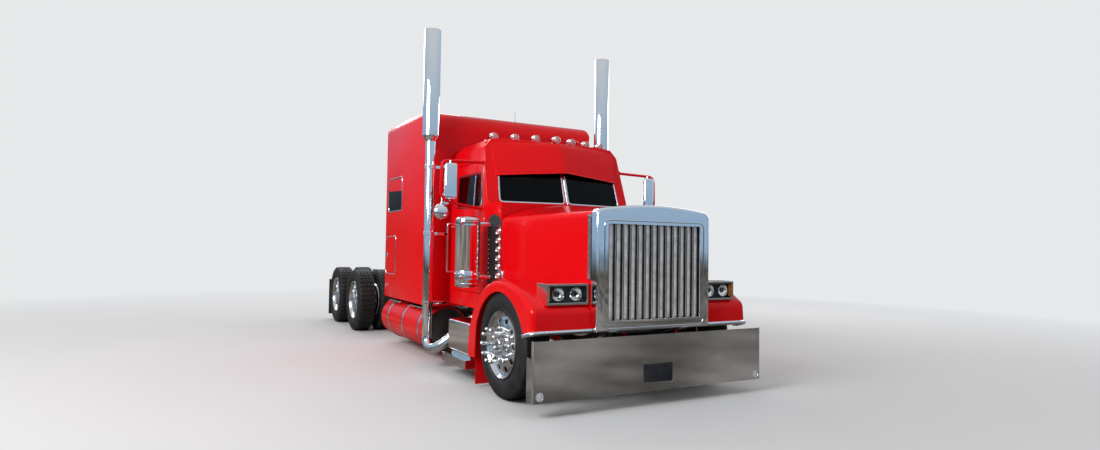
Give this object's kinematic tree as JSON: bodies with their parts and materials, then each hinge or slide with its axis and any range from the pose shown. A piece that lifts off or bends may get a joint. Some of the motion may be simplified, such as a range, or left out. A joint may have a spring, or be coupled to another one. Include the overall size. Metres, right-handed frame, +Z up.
{
  "type": "semi truck tractor unit",
  "caption": "Long-nose highway tractor unit with a tall sleeper, tandem drive axles with twin wheels, a tilting fifth wheel, a forward-tilting hood, swinging doors and steered front wheels.",
  "frame": {"origin": "on the ground, at the middle of the truck's length and width", "axes": "+X to the truck's left side, +Y to its rear, so that its nose points to -Y, +Z up"},
  "size_m": [2.824, 8.1, 3.8129],
  "materials": {
    "red_paint": "gloss",
    "chrome": "polished",
    "polished_aluminium": "polished",
    "frame_black": "satin",
    "cast_iron": "rough",
    "engine_paint": "satin",
    "tyre_rubber": "matte",
    "flap_rubber": "matte",
    "dark_glass": "clear",
    "clear_glass": "clear",
    "amber_lens": "gloss",
    "trim_plastic": "grained",
    "seat_leather": "soft"
  },
  "bodies": {
    "chassis": {"frame_rails": "frame_black", "front_axle": "cast_iron", "drive_axles": "cast_iron", "engine": "engine_paint", "bumper": "chrome", "fog_lamps": "clear_glass", "cab_shell": "red_paint", "windscreen": "dark_glass", "sun_visor": "red_paint", "cab_lamps": "amber_lens", "sleeper_shell": "red_paint", "sleeper_glass": "dark_glass", "air_cleaners": "chrome", "exhaust_stacks": "chrome", "fuel_tanks": "red_paint", "tank_brackets": "chrome", "step_boxes": "chrome", "deck_plate": "polished_aluminium", "fifth_wheel_base": "frame_black", "tail_bar": "chrome", "mud_flaps": "flap_rubber", "dashboard": "trim_plastic", "seat_bases": "frame_black", "seat_cushions": "seat_leather"},
    "hood": {"hood_shell": "red_paint", "grille_surround": "chrome", "grille_louvers": "chrome", "headlamp_pods": "chrome", "headlamps": "clear_glass"},
    "tie_rod": {"tie_rod": "frame_black"},
    "steering_wheel": {"steering_wheel": "trim_plastic"},
    "fifth_wheel": {"fifth_wheel_plate": "frame_black"},
    "door_left": {"door_left": "red_paint", "door_glass_left": "dark_glass", "mirror_left": "red_paint"},
    "hatch_left": {"hatch_left": "red_paint"},
    "knuckle_left": {"knuckle_left": "cast_iron"},
    "front_wheel_left": {"front_rim_left": "polished_aluminium", "front_tyre_left": "tyre_rubber"},
    "mid_wheels_left": {"mid_rims_left": "polished_aluminium", "mid_tyres_left": "tyre_rubber"},
    "rear_wheels_left": {"rear_rims_left": "polished_aluminium", "rear_tyres_left": "tyre_rubber"},
    "door_right": {"door_right": "red_paint", "door_glass_right": "dark_glass", "mirror_right": "red_paint"},
    "hatch_right": {"hatch_right": "red_paint"},
    "knuckle_right": {"knuckle_right": "cast_iron"},
    "front_wheel_right": {"front_rim_right": "polished_aluminium", "front_tyre_right": "tyre_rubber"},
    "mid_wheels_right": {"mid_rims_right": "polished_aluminium", "mid_tyres_right": "tyre_rubber"},
    "rear_wheels_right": {"rear_rims_right": "polished_aluminium", "rear_tyres_right": "tyre_rubber"}
  },
  "joints": [
    {"name": "hood_tilt", "type": "hinge", "parent": "chassis", "child": "hood", "pos_m": [0, -3.99, 0.63], "axis": [1, 0, 0], "range_deg": [0, 75]},
    {"name": "steer_right", "type": "hinge", "parent": "chassis", "child": "knuckle_right", "pos_m": [-0.925, -3.263, 0.4785], "axis": [0, 0, 1], "range_deg": [-33, 33]},
    {"name": "steer_left", "type": "hinge", "parent": "chassis", "child": "knuckle_left", "pos_m": [0.925, -3.263, 0.4785], "axis": [0, 0, 1], "range_deg": [-33, 33]},
    {"name": "tie_rod_swing", "type": "hinge", "parent": "knuckle_right", "child": "tie_rod", "pos_m": [-0.925, -3.098, 0.38], "axis": [0, 0, 1], "range_deg": [-33, 33]},
    {"name": "steering_wheel_turn", "type": "hinge", "parent": "chassis", "child": "steering_wheel", "pos_m": [0.45, -2.05579, 1.59914], "axis": [0, 0.824, 0.5665], "range_deg": [-528, 528]},
    {"name": "fifth_wheel_tilt", "type": "hinge", "parent": "chassis", "child": "fifth_wheel", "pos_m": [0, 2.73, 1.005], "axis": [1, 0, 0], "range_deg": [-12, 12]},
    {"name": "door_left_swing", "type": "hinge", "parent": "chassis", "child": "door_left", "pos_m": [0.889, -2.305, 1.4], "axis": [0, 0, -1], "range_deg": [0, 70]},
    {"name": "hatch_left_swing", "type": "hinge", "parent": "chassis", "child": "hatch_left", "pos_m": [1.094, 0.18, 1.2], "axis": [0, 0, -1], "range_deg": [0, 95]},
    {"name": "front_wheel_left_roll", "type": "hinge", "parent": "knuckle_left", "child": "front_wheel_left", "pos_m": [1.005, -3.263, 0.4785], "axis": [1, 0, 0], "continuous": true},
    {"name": "mid_wheels_left_roll", "type": "hinge", "parent": "chassis", "child": "mid_wheels_left", "pos_m": [0.908, 2.13, 0.4785], "axis": [1, 0, 0], "continuous": true},
    {"name": "rear_wheels_left_roll", "type": "hinge", "parent": "chassis", "child": "rear_wheels_left", "pos_m": [0.908, 3.45, 0.4785], "axis": [1, 0, 0], "continuous": true},
    {"name": "door_right_swing", "type": "hinge", "parent": "chassis", "child": "door_right", "pos_m": [-0.889, -2.305, 1.4], "axis": [0, 0, 1], "range_deg": [0, 70]},
    {"name": "hatch_right_swing", "type": "hinge", "parent": "chassis", "child": "hatch_right", "pos_m": [-1.094, 0.18, 1.2], "axis": [0, 0, 1], "range_deg": [0, 95]},
    {"name": "front_wheel_right_roll", "type": "hinge", "parent": "knuckle_right", "child": "front_wheel_right", "pos_m": [-1.005, -3.263, 0.4785], "axis": [1, 0, 0], "continuous": true},
    {"name": "mid_wheels_right_roll", "type": "hinge", "parent": "chassis", "child": "mid_wheels_right", "pos_m": [-0.908, 2.13, 0.4785], "axis": [1, 0, 0], "continuous": true},
    {"name": "rear_wheels_right_roll", "type": "hinge", "parent": "chassis", "child": "rear_wheels_right", "pos_m": [-0.908, 3.45, 0.4785], "axis": [1, 0, 0], "continuous": true}
  ],
  "couplings": [
    {"joint": "steer_left", "follows": "steer_right", "ratio": 1},
    {"joint": "tie_rod_swing", "follows": "steer_right", "ratio": -1},
    {"joint": "steering_wheel_turn", "follows": "steer_right", "ratio": 16}
  ]
}
